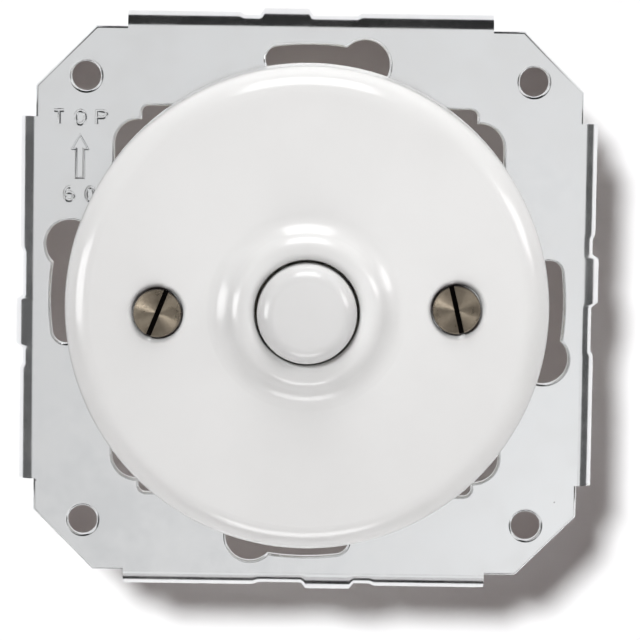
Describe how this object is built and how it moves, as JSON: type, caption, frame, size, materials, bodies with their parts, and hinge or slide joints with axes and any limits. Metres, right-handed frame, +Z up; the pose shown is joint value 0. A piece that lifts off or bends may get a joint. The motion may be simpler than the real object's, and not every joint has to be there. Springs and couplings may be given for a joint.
{
  "type": "porcelain push-button switch",
  "caption": "Round glazed push-button switch on a square pressed-steel support frame, with a sprung bridging contact in a moulded base behind it.",
  "frame": {"origin": "on the button's axis, in the plane of the support frame's back face, at the centre of its corner holes", "axes": "+Z up on the wall, -Y towards the room, +X to the right seen from the room"},
  "size_m": [0.072, 0.0421, 0.072],
  "materials": {
    "galvanised_steel": "satin zinc coat",
    "porcelain": "glossy white glaze",
    "aged_bronze": "aged, fine turned",
    "brass": "bright",
    "zinc_steel": "zinc plated",
    "spring_steel": "drawn wire",
    "silver": "satin",
    "moulding": "moulded, matt",
    "carrier_moulding": "moulded, matt"
  },
  "bodies": {
    "switch_body": {"support_frame": "galvanised_steel", "porcelain_cover": "porcelain", "cover_screws": "aged_bronze", "cover_pillars": "brass", "mechanism_base": "moulding", "guide_plate": "moulding", "base_screws": "zinc_steel", "return_spring": "spring_steel", "fixed_contact_left": "brass", "fixed_contact_right": "brass", "fixed_contact_tips": "silver", "terminal_block_left": "brass", "terminal_block_right": "brass", "terminal_screws": "zinc_steel"},
    "button": {"button_cap": "porcelain", "button_stem": "brass", "bridge_carrier": "carrier_moulding", "contact_spring": "spring_steel"},
    "bridge": {"contact_bridge": "brass", "bridge_contact_tips": "silver"}
  },
  "joints": [
    {"name": "button_press", "type": "slide", "parent": "switch_body", "child": "button", "axis": [0, 1, 0], "range_m": [0, 0.003], "stiffness_N_per_m": 800, "springref_m": -0.003, "deforming": ["return_spring", "contact_spring"]},
    {"name": "contact_close", "type": "slide", "parent": "switch_body", "child": "bridge", "axis": [0, 1, 0], "range_m": [0, 0.0021]}
  ],
  "couplings": [
    {"joint": "contact_close", "follows": "button_press", "ratio": 0.7}
  ]
}
